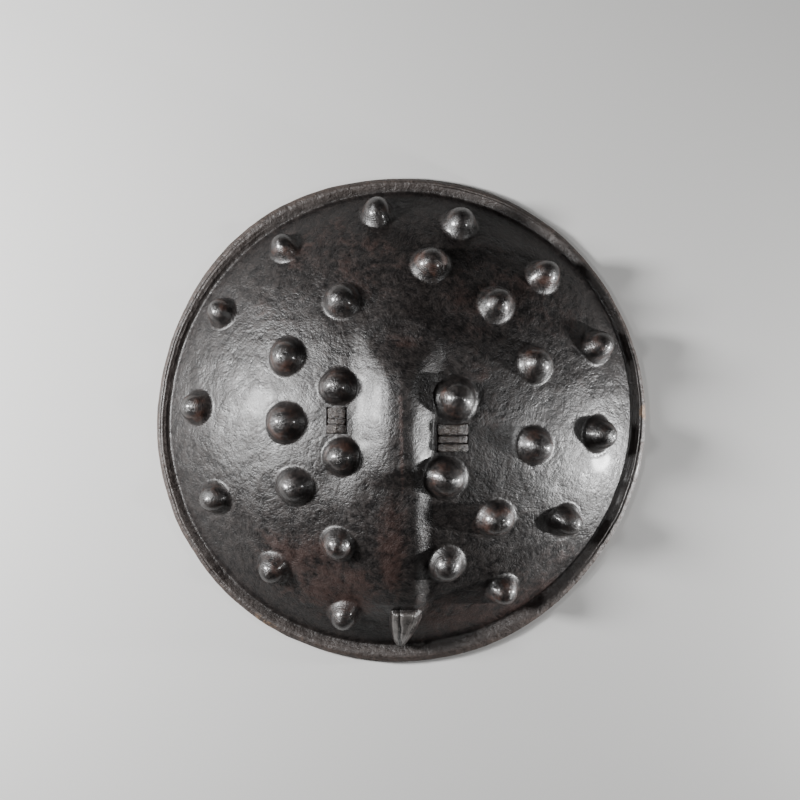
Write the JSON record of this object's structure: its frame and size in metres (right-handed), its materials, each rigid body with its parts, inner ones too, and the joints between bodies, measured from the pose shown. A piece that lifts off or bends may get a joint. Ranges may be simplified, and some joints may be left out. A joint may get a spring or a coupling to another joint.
{
  "type": "bossed hide shield",
  "caption": "Round domed hide shield with an upturned rim, pressed-out bosses, a raised hand ridge ending in a keeled lug, and a laced grip across the hollow back.",
  "frame": {"origin": "on the surface that the shield lies on, under the middle of its outline", "axes": "+Z out of the face, which looks up as the shield lies; +Y to the shield's top as it is carried; +X to its right as the face is seen"},
  "size_m": [0.5212, 0.5147, 0.1318],
  "materials": {
    "hide": "thick hide, nearly black brown, satin from handling, fine fibrous grain, with reddish brown rubbed patches and tan wear on the rim",
    "grip_hide": "folded dark brown hide, dull, polished where a hand held it",
    "thong_hide": "narrow hide thong, greyish brown, dry and worn"
  },
  "bodies": {
    "root": {"hide": "hide", "grip": "grip_hide", "left_lacing": "thong_hide", "right_lacing": "thong_hide"}
  },
  "joints": []
}
